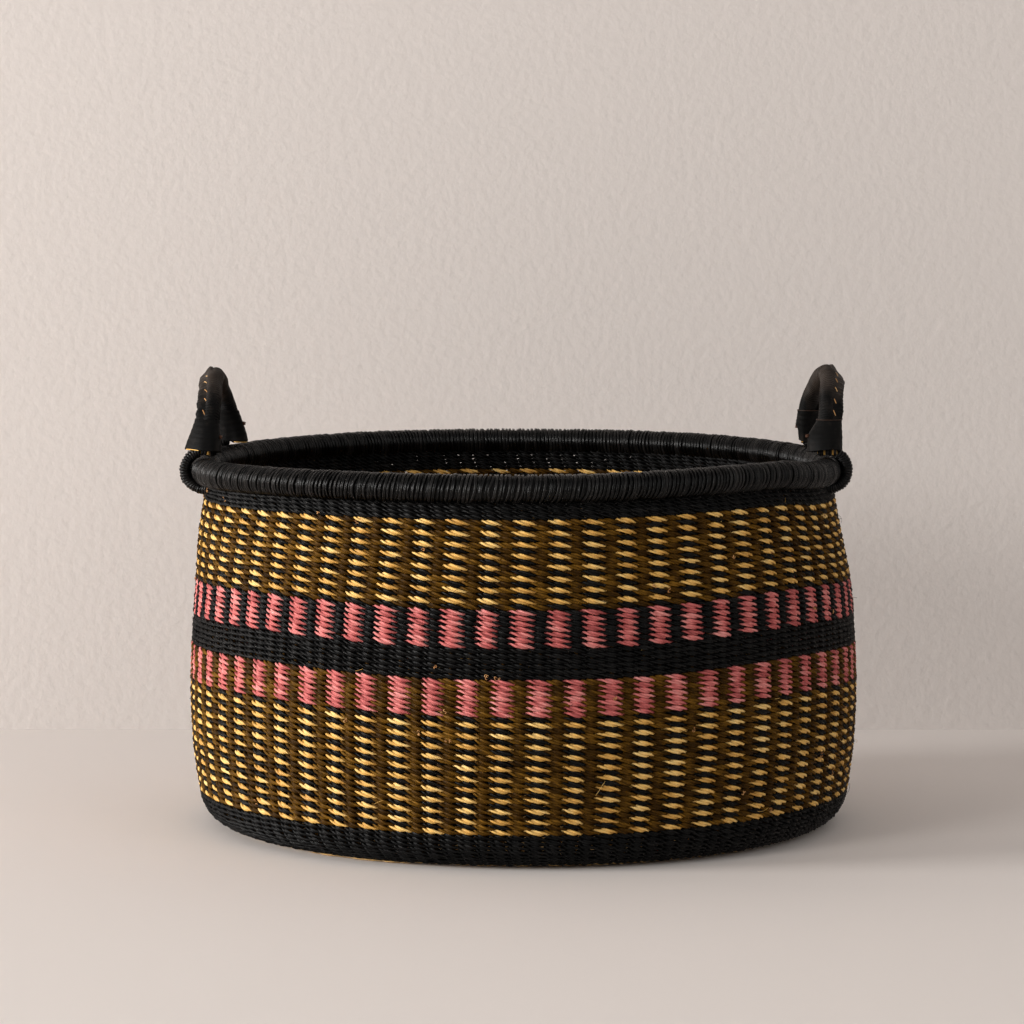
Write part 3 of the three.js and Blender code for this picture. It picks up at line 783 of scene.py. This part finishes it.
# Rim roll
LASHING_TURNS = 500
LASHING_STEPS = 16  # rings of the lashing in one turn
LASHING_DEPTH = 1.0  # of its middle under the surface of the roll
LASHING_PLY = 0.54
LASHING_WAIST = 0.02
LASHING_REACH = 0.5  # from the middle of the strand to the middle of each ply
LASHING_HEIGHT = 1.6  # how much higher than wide each ply is
LASHING_LEAN = 1.5  # how far the top of a turn stands aside from its bottom, halved
LASHING_SLIDE = 0.22  # how uneven the turns are
LASHING_BEND = 0.55
LASHING_RISE = 0.17
LASHING_SPREAD = 0.1
LASHING_TILT = 0.26
BUNDLE_RADIUS = 8.7
BUNDLE_LOBES = 13
BUNDLE_TWISTS = 3


def straight_out(azimuth):
    return np.stack([np.cos(azimuth), np.sin(azimuth), 0 * azimuth], -1)


def roll_centre(azimuth):
    across = rim_radius * np.cos(azimuth) + sway_at(RIM_HEIGHT)
    return np.stack([across, rim_radius * np.sin(azimuth), RIM_HEIGHT - dip_at(azimuth, RIM_HEIGHT)], -1)


def wind_rim():
    """One long twisted strand wound round the roll, turn against turn and never quite even."""
    count = LASHING_TURNS * LASHING_STEPS
    done = np.arange(count) / LASHING_STEPS
    around = TURN * done
    slide = jitter(LASHING_SLIDE, LASHING_TURNS, done)
    bend = jitter(LASHING_BEND, LASHING_TURNS, done) * np.cos(2 * around)
    lean = LASHING_LEAN * np.sin(around + 0.5)
    azimuth = TURN * done / LASHING_TURNS + (slide + bend + lean) / rim_radius
    aside = np.stack([-np.sin(azimuth), np.cos(azimuth), 0 * azimuth], -1)
    away = straight_out(azimuth) * np.cos(around)[:, None] + UP * np.sin(around)[:, None]
    reach = ROLL_RADIUS - LASHING_DEPTH + jitter(LASHING_RISE, LASHING_TURNS, done)
    middle = roll_centre(azimuth) + away * reach[:, None]
    size = 1 + jitter(LASHING_SPREAD, LASHING_TURNS, done)
    tilt = jitter(LASHING_TILT, LASHING_TURNS, done, mean=0.05)
    x, y = two_plies(LASHING_PLY, LASHING_REACH, LASHING_WAIST).T
    y = y * LASHING_HEIGHT
    size, cosine, sine = (value[:, None] for value in (size, np.cos(tilt), np.sin(tilt)))
    wide = size * (x * cosine - y * sine)
    high = size * (x * sine + y * cosine)
    rings = middle[:, None] + aside[:, None] * wide[..., None] + away[:, None] * high[..., None]
    tone = eased(random.random(LASHING_TURNS), done)
    skin("rim_lashing_turns", rings[None], lashing_grass, "basket",
         looped=True, tone=tone[None], stands_for=["rim_lashing"])


def lay_bundle():
    """Stake ends laid together inside the roll, twisting slowly."""
    azimuth = full_turn(360)
    angle = full_turn(40)
    lobes = np.cos(BUNDLE_LOBES * (angle[None] - BUNDLE_TWISTS * azimuth[:, None]))
    reach = BUNDLE_RADIUS * (0.96 + 0.04 * lobes)
    rings = (
        roll_centre(azimuth)[:, None]
        + straight_out(azimuth)[:, None] * (reach * np.cos(angle))[..., None]
        + UP * (reach * np.sin(angle))[..., None]
    )
    skin("rim_bundle", rings[None], black_grass, "basket",
         looped=True, stands_for=["rim_core"])


# Handles, each built round its hinge line: +X out of the basket, +Y along the line and +Z up
foot_angle = ARCH_HALF_SPAN / rim_radius
hinge_radius = rim_radius * math.cos(foot_angle)
foot_reach = rim_radius * math.sin(foot_angle)


def turn_at_height(height):
    return np.arcsin(height / ARCH_RISE)


class Arch:
    """The line that one handle's leather follows. Its turns count from the foot on the +Y side."""

    def __init__(self, bends, slump):
        self.bends = np.array(bends)
        self.slump = slump

    def point(self, turn):
        height = ARCH_RISE * np.sin(turn)
        bend = eased(self.bends, np.asarray(turn) / math.pi * (len(self.bends) - 1))
        reach = rim_radius + bend * smooth(height / 12)
        angle = ARCH_HALF_SPAN * np.cos(turn) / rim_radius
        top = height - self.slump * smooth(2 * np.sin(turn) - 1)
        return np.stack([reach * np.cos(angle) - hinge_radius, reach * np.sin(angle), top], -1)

    def frame(self, turn):
        """Out of the basket, and out of the arch, across the leather at a turn."""
        step = 1e-3
        along = self.point(turn + step) - self.point(turn - step)
        along /= np.linalg.norm(along, axis=-1, keepdims=True)
        angle = ARCH_HALF_SPAN * np.cos(turn) / rim_radius
        out = straight_out(angle)
        out -= along * np.sum(out * along, -1, keepdims=True)
        out /= np.linalg.norm(out, axis=-1, keepdims=True)
        return out, np.cross(along, out)

    def rings(self, turns, x, y):
        """Rings on the arch: x points out of the basket and y out of the arch."""
        out, up = self.frame(turns)
        x, y = np.broadcast_arrays(x, y)
        return self.point(turns)[:, None] + out[:, None] * x[..., None] + up[:, None] * y[..., None]

    def leg_rings(self, foot, level, across, along, angle):
        """Level rings round one leg."""
        turn = turn_at_height(level)
        centre = self.point(turn if foot > 0 else math.pi - turn)
        x = centre[..., 0] + across * np.cos(angle)
        y = centre[..., 1] + foot * along * np.sin(angle)
        return np.stack([x, y, level + 0 * x], -1)


def anchor_point(foot, angle, reach=ANCHOR_ARC_RADIUS):
    """Point on the rope's way round the roll, the angle counted up from straight outward."""
    return np.stack([reach * np.cos(angle), foot * foot_reach + 0 * angle, reach * np.sin(angle)], -1)


def rope_arc(angle):
    """Radius of the rope's way round the roll, which it touches only where it is drawn tight."""
    drawn = WINDING_DRAWN_IN * smooth(-angle / math.radians(80))
    inside = smooth((-angle - math.radians(105)) / math.radians(30))
    return (WINDING_ARC_RADIUS - drawn) * (1 - inside) + ANCHOR_ARC_RADIUS * inside


class Handle:
    """One handle and all that moves with it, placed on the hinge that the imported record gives."""

    def __init__(self, side, lean, feet):
        joint = next(j for j in frame["joints"] if j["child"] == f"{side}_handle")
        self.side = side
        self.feet = feet
        self.arch = Arch(BENDS[side], SLUMPS[side])
        self.origin = np.array(joint["pos_m"]) / MILLIMETRE
        line = np.array(joint["axis"])
        out = np.cross(line, UP)
        tilted_out = out * math.cos(lean) - UP * math.sin(lean)
        tilted_up = UP * math.cos(lean) + out * math.sin(lean)
        self.axes = np.stack([tilted_out, line, tilted_up])

    def put(self, name, tubes, material, looped=False, tone=None, stands_for=()):
        placed = np.asarray(tubes) @ self.axes + self.origin
        nodes = [f"{self.side}_{node}" for node in stands_for]
        skin(f"{self.side}_{name}", placed, material, f"{self.side}_handle",
             looped=looped, tone=tone, stands_for=nodes)

    def make(self):
        self.rope()
        self.sleeve()
        self.seam()
        for end, foot in self.feet.items():
            self.collar(end, foot)
            self.straws(end, foot)
            self.winding(end, foot)
            self.knot(end, foot)

    def rope(self):
        """Three-strand grass rope, thick inside the leather and thin round the roll."""
        strands = 3
        bend_steps = 34
        arch_steps = 60
        start = turn_at_height(SLEEVE_FOOT)
        angle = np.linspace(ROPE_END, ROPE_TOP, bend_steps)
        legs = np.linspace(start, math.pi - start, arch_steps)
        spread = np.sin(np.linspace(0, math.pi, arch_steps)) ** 0.3
        middle = self.arch.point(legs) + self.arch.frame(legs)[0] * (SLEEVE_OFFSET * spread)[:, None]
        outer = anchor_point(1, angle, rope_arc(angle))
        inner = anchor_point(-1, angle[::-1], rope_arc(angle[::-1]))
        path = np.concatenate([outer, middle, inner])
        radii = [ROPE_RADIUS, ROPE_IN_SLEEVE, ROPE_RADIUS]
        radius = np.repeat(radii, [bend_steps, arch_steps, bend_steps])
        turn = length_along(path) / ROPE_LAY
        lobes = 1 + 0.1 * np.cos(strands * full_turn(18))
        section = circle(18) * lobes[:, None] * 0.92
        tubes = tube_along(path, section, side=(0, 1, 0), size=radius, turn=turn)
        self.put("rope", tubes[None], undyed_grass, stands_for=["handle_core"])

    def sleeve(self):
        """Leather sewn round the rope, gathered into fine wrinkles, and open at both ends."""
        rings = 420
        start = turn_at_height(SLEEVE_FOOT)
        turns = np.linspace(start, math.pi - start, rings)
        length = length_along(self.arch.point(turns))
        angle = full_turn(32)
        part = angle / TURN
        slow = random.normal(0, 0.24, (24, 6))
        swell = eased(eased(slow.T, length / 9.5).T, part * 6)
        depth = WRINKLE_DEPTH * (0.3 + eased(random.random((30, 5)).T, length / 7.3).T)
        wander = eased(random.normal(0, 0.5, (30, 5)).T, length / 7.3).T
        wave = TURN * length[:, None] / WRINKLE_LENGTH + 2.2 * eased(wander, part * 5)
        reach = swell + eased(depth, part * 5) * np.sin(wave)
        across = SLEEVE_OFFSET + (SLEEVE_ACROSS + reach) * np.cos(angle)
        outer = self.arch.rings(turns, across, (SLEEVE_ALONG + reach) * np.sin(angle))
        inside = turns[::6]
        spread = 0 * inside[:, None]
        inner = self.arch.rings(inside, SLEEVE_OFFSET + SLEEVE_BORE_ACROSS * np.cos(angle) + spread,
                                SLEEVE_BORE_ALONG * np.sin(angle) + spread)
        tubes = np.concatenate([outer, inner[::-1]])
        # The tone paints a sheen on the top of the arch and leaves the feet darker.
        tone = self.sheen_and_rubbing(np.concatenate([turns, inside[::-1]]))
        self.put("sleeve", tubes[None], black_leather,
                 looped=True, tone=tone[None], stands_for=["handle_sleeve"])

    def sheen_and_rubbing(self, turns):
        """How light the leather is painted at each turn, most at the top of the arch: a painted sheen
        there, together with rubbing where it is grasped.
        """
        return smooth(2.4 * np.sin(turns) - 1.35)

    def seam(self):
        """Two lips of leather pinched together on the outward side, laced with tan thread.

        The lips lean over at the top of the arch, where their fold stands up in a small peak.
        """
        start = turn_at_height(COLLAR_TOP - 4)
        turns = np.linspace(start, math.pi - start, 320)
        length = length_along(self.arch.point(turns))
        lip = [(1.0, 4.9), (3.0, 3.9), (4.4, 3.3), (6.2, 2.9), (8.0, 2.3), (9.2, 1.3)]
        lips = np.array([*lip, (9.5, 0), *((x, -y) for x, y in lip[::-1])])
        pinch = np.clip((lips[:, 0] - 3) / 5, 0, 1)
        edge = jitter(0.32, 60, length / 4.1) + 0.16 * np.sin(length * 1.9)
        ends = smooth(np.minimum(length, length[-1] - length) / 5) - 1
        x = lips[:, 0] + pinch * (edge + 1.5 * ends)[:, None]
        ripple = pinch * (0.35 * np.sin(length * 0.83 + 1) + 0.2 * np.sin(length * 1.61))[:, None]
        peak = np.exp(-(((turns - math.pi / 2) / PEAK_WIDTH) ** 2))[:, None]
        root = np.exp(-(((lips[:, 0] - 3.4) / 2.4) ** 2)) * (lips[:, 1] > 0)
        fold = PEAK_HEIGHT * peak * root
        y = lips[:, 1] + ripple + fold - self.droop(turns)[:, None] * (x - 2)
        # The tone paints the same sheen on the seam as on the sleeve, lightest on the top of the arch.
        self.put("seam", self.arch.rings(turns, x, y)[None], black_leather,
                 tone=self.sheen_and_rubbing(turns)[None], stands_for=["handle_seam"])
        stitches = []
        first = turn_at_height(COLLAR_TOP) + 0.05
        for turn in np.linspace(first, math.pi - first, STITCHES):
            part = np.linspace(-1, 1, 9)
            spots = turn + random.normal(0, 0.012) + part * 0.034
            x = 4.1 + 1.0 * part + random.normal(0, 0.2)
            y = 3.95 - 0.9 * part**4 - (0.4 + self.droop(spots)) * (x - 3.6)
            y -= self.droop(spots) * 1.6
            out, up = self.arch.frame(spots)
            path = self.arch.point(spots) + out * x[:, None] + up * y[:, None]
            stitches.append(tube_along(path, circle(6, 0.33, 0.33), side=(1, 0, 0)))
        tone = random.random((STITCHES, 1))
        self.put("seam_stitches", stitches, tan_thread, tone=tone)

    def droop(self, turns):
        """How steeply the lips lean over at a turn."""
        return 0.5 * np.exp(-(((turns - math.pi / 2) / 0.5) ** 2))

    def collar(self, end, foot):
        """Flared leather cuff, wrapped once round the leg: on the right handle with a cord round its top,
        on the left with a straw along part of its hem.
        """
        flare_out, flare_in, full = COLLAR_FLARES[f"{self.side}_{end}"]
        steps = 44
        down = np.linspace(0, 1, steps)[:, None]
        height = COLLAR_TOP - (COLLAR_TOP - COLLAR_HEM) * down
        angle = full_turn(64)
        outward = (1 + np.cos(angle)) / 2
        opened = np.clip(down / full, 0, 1)
        opened = (opened + smooth(opened)) / 2
        flare = (flare_out * outward + flare_in * (1 - outward)) * opened
        fold = 0.75 * np.cos(3 * angle + 1.1) + 0.3 * np.cos(5 * angle + foot) + 0.16 * np.cos(9 * angle)
        crease = 0.09 * np.sin(TURN * down * 5.3 + 2 * np.cos(2 * angle + foot))
        loose = fold * down**1.3 + crease * (1 - 0.5 * down)
        lap = COLLAR_LAP * ((angle / TURN + 0.12) % 1)
        across = 8.1 + 1.4 * outward + flare + loose + lap * (1 - outward)
        along = 7.7 + 2.0 * down + loose + lap * 0.6
        sag = HEM_SAG * (1 - np.sin(angle)) * down**2  # lower towards the middle of the handle
        level = height + 0.45 * np.sin(2 * angle + foot) * down**3 - sag
        leg = self.arch.leg_rings
        outer = leg(foot, level, across, along, angle)
        inner = leg(foot, level[::3], across[::3] - COLLAR_THICKNESS, along[::3] - COLLAR_THICKNESS,
                    angle)
        # Tone 0 leaves the collars without the painted sheen, in the darkest leather.
        self.put(f"{end}_collar", np.concatenate([outer, inner[::-1]])[None], black_leather,
                 looped=True, tone=0.0, stands_for=[f"{end}_collar"])
        if self.side == "right":
            cord = leg(foot, level[0] + 0.1, across[0] + 0.1, along[0] + 0.1, angle)
            line = closed_tube(cord, circle(6, 0.32, 0.32))
            self.put(f"{end}_collar_cord", line[None], cord_leather, looped=True)
        else:
            shown = slice(2, 14) if end == "front" else slice(34, 46)
            hem = leg(foot, level - 0.2, across - 0.5, along - 0.5, angle)[-1]
            line = tube_along(hem[shown], circle(6, 0.5, 0.5))
            self.put(f"{end}_hem_straw", line[None], gold_straw)
        self.tie(end, foot, across)

    def tie(self, end, foot, across):
        """Small knot that closes the cuff, on its side towards the inside of the basket."""
        height = TIE_HEIGHTS[f"{self.side}_{end}"]
        row = round((COLLAR_TOP - height) / (COLLAR_TOP - COLLAR_HEM) * (len(across) - 1))
        reach = across[row, across.shape[1] // 2] + 0.5
        middle = self.arch.leg_rings(foot, np.array(height), reach, 9.5, np.array(math.pi))
        angle = np.linspace(0, 4 * math.pi, 25)
        reach = 1.0 + 0.25 * np.cos(2.5 * angle)
        path = middle + np.stack([
            0.8 * reach * np.cos(angle), reach * np.sin(angle), np.linspace(-0.9, 0.9, 25),
        ], -1)
        knot = tube_along(path, circle(6, 0.6, 0.6))
        self.put(f"{end}_tie", knot[None], brown_leather)

    def straws(self, end, foot):
        """Cut straw ends that stand in the cuff, on the inner side of the wound rope."""
        turn = turn_at_height(COLLAR_HEM)
        centre = self.arch.point(turn if foot > 0 else math.pi - turn)
        flare_in = COLLAR_FLARES[f"{self.side}_{end}"][1]
        inner_reach = min(5.7, 6.5 + flare_in)
        blades = []
        count = 26
        for k in range(count):
            angle = math.pi / 2 + math.pi * (k + 0.5) / count
            ring = 0.93 - 0.3 * (k % 2)
            x = centre[0] + 4.5 + (4.5 + inner_reach) / 0.93 * ring * math.cos(angle)
            y = centre[1] + foot * 7.0 * ring * math.sin(angle)
            foot_height = ROLL_RADIUS + 0.7 + random.random() * 1.6
            lean_x, lean_y = random.normal(0, 0.6, 2)
            height = np.linspace(foot_height, 20, 5)
            part = (height - foot_height) / 10
            path = np.stack([x + lean_x * (1 - part), y + lean_y * (1 - part), height], -1)
            blades.append(tube_along(path, circle(6, 0.75, 0.55), side=(1, 0, 0)))
        bright = np.arange(count) % 5 == 1
        blades = np.array(blades)
        tone = random.random((count, 1))
        self.put(f"{end}_straws", blades[~bright], black_grass,
                 tone=tone[~bright], stands_for=[f"{end}_straw"])
        self.put(f"{end}_bright_straws", blades[bright], gold_straw,
                 tone=tone[bright], stands_for=[f"{end}_straw"])

    def winding(self, end, foot):
        """Black cord wound tightly round the rope, from the cuff to the hole under the rim."""
        steps = 16
        done = np.arange(WINDING_TURNS * steps + 1) / steps
        spin = TURN * done
        sweep = (WINDING_TOP - WINDING_END) * done / WINDING_TURNS
        along = np.radians(WINDING_TOP - sweep + WINDING_SLANT * np.sin(spin))
        reach = WINDING_REACH + jitter(WINDING_SPREAD, WINDING_TURNS, done)
        out = np.stack([np.cos(spin) * np.cos(along), np.sin(spin), np.cos(spin) * np.sin(along)], -1)
        path = anchor_point(foot, along, rope_arc(along)) + out * reach[:, None]
        tubes = tube_along(path, circle(8, CORD_RADIUS, CORD_RADIUS), side=(0, 1, 0))
        tone = eased(random.random(WINDING_TURNS), done)
        self.put(f"{end}_winding", tubes[None], lashing_grass,
                 tone=tone[None], stands_for=[f"{end}_winding"])

    def knot(self, end, foot):
        """Knot that stops the rope inside the basket."""
        part = full_turn(60)
        shape = np.stack([
            np.sin(part) + 2 * np.sin(2 * part),
            np.cos(part) - 2 * np.cos(2 * part),
            -np.sin(3 * part),
        ], -1)
        middle = anchor_point(foot, np.array(KNOT_ANGLE))
        path = middle + shape * np.array([0.95, 0.95, 1.5])
        knot = closed_tube(path, circle(8, 1.25, 1.25))
        self.put(f"{end}_knot", knot[None], undyed_grass, looped=True)


# Stage, camera and lamps, in metres
BACKDROP_PLACE = 0.445
STAGE_REACH = 4
FLOOR_COLOUR = (0.775, 0.72, 0.686)
BACKDROP_COLOUR = (0.62, 0.574, 0.546)
WINDOW_COLOUR = (1.0, 0.98, 0.955)
ROOM_COLOUR = (1.0, 0.975, 0.955, 1)
ROOM_STRENGTH = 0.36
LAMPS = [  # name, place, size and watts
    ("side_window", (-5.0, -1.06, 0.95), 1.8, 300),
    ("front_window", (-3.0, -3.0, 1.5), 1.5, 60),
    ("soft_fill", (3.0, -3.5, 2.5), 4.0, 35),
]


def make_camera():
    data = bpy.data.cameras.new("camera")
    data.sensor_width = 36
    data.lens = FOCAL_PIXELS / PICTURE_SIDE * data.sensor_width
    data.clip_end = 30
    camera = add_object("camera", data)
    camera.location = CAMERA_PLACE
    camera.rotation_euler = (math.pi / 2 - CAMERA_PITCH, 0, 0)
    bpy.context.scene.camera = camera


def make_panel(name, corners, colour, one_sided=False):
    mesh = bpy.data.meshes.new(name)
    mesh.from_pydata(corners, [], [(0, 1, 2, 3)])
    mesh.materials.append(plaster(f"{name}_finish", colour, one_sided))
    add_object(name, mesh)


def make_stage():
    reach = STAGE_REACH
    corners = [(-reach, -reach), (reach, -reach), (reach, reach), (-reach, reach)]
    make_panel("floor", [(x, y, 0) for x, y in corners], FLOOR_COLOUR)
    upright = [(x, BACKDROP_PLACE, max(z, 0)) for x, z in corners]
    make_panel("backdrop", upright, BACKDROP_COLOUR, one_sided=True)


def make_lamp(name, place, size, power):
    data = bpy.data.lights.new(name, "AREA")
    data.shape = "DISK"
    data.size = size
    data.energy = power
    data.color = WINDOW_COLOUR
    lamp = add_object(name, data)
    lamp.location = place
    aim = -lamp.location
    lamp.rotation_euler = aim.to_track_quat("-Z", "Y").to_euler()


def light_stage():
    for lamp in LAMPS:
        make_lamp(*lamp)
    world = bpy.data.worlds.new("room")
    world.use_nodes = True
    background = world.node_tree.nodes["Background"]
    background.inputs["Color"].default_value = ROOM_COLOUR
    background.inputs["Strength"].default_value = ROOM_STRENGTH
    bpy.context.scene.world = world
    bpy.context.scene.view_settings.view_transform = "Standard"


make_camera()
make_stage()
light_stage()

# Colours from dark to light, then roughness and the level of the gloss
gold_straw = grass("gold_straw", (0.34, 0.14, 0.015), (0.78, 0.45, 0.11), (0.96, 0.71, 0.30), 0.5, 0.32)
brown_grass = grass(
    "brown_grass", (0.008, 0.003, 0.0002), (0.050, 0.0215, 0.0012), (0.23, 0.11, 0.012), 0.5, 0.07
)
pink_grass = grass("pink_grass", (0.22, 0.035, 0.035), (0.58, 0.14, 0.132), (0.82, 0.37, 0.335), 0.55, 0.22)
black_grass = grass(
    "black_grass", (0.0006, 0.0006, 0.0007), (0.0021, 0.002, 0.0021), (0.014, 0.0132, 0.0128), 0.42, 0.11
)
lashing_grass = grass(
    "lashing_grass", (0.0002, 0.0002, 0.0002), (0.001, 0.0009, 0.0009), (0.0125, 0.0115, 0.011),
    0.27, 0.19, uneven=0.6,
)
undyed_grass = grass("undyed_grass", (0.32, 0.17, 0.05), (0.58, 0.37, 0.14), (0.75, 0.55, 0.27), 0.55, 0.3)
tan_thread = grass("tan_thread", (0.34, 0.15, 0.05), (0.56, 0.31, 0.12), (0.75, 0.50, 0.24), 0.6, 0.3)
curled_straw = grass("curled_straw", (0.22, 0.08, 0.02), (0.46, 0.22, 0.08), (0.78, 0.48, 0.20), 0.5, 0.3)
black_leather = leather("black_leather")
brown_leather = grass(
    "brown_leather", (0.03, 0.012, 0.006), (0.07, 0.028, 0.014), (0.12, 0.05, 0.03), 0.5, 0.2
)
cord_leather = grass(
    "cord_leather", (0.01, 0.005, 0.003), (0.03, 0.014, 0.008), (0.06, 0.03, 0.017), 0.5, 0.2
)

lay_base(lay_bands())
show_foot_straw()
set_stakes()
wind_rim()
lay_bundle()
curl_cut_ends()
raise_fibres()
Handle("right", 0, {"front": -1, "back": 1}).make()
Handle("left", -LEFT_LEAN, {"front": 1, "back": -1}).make()
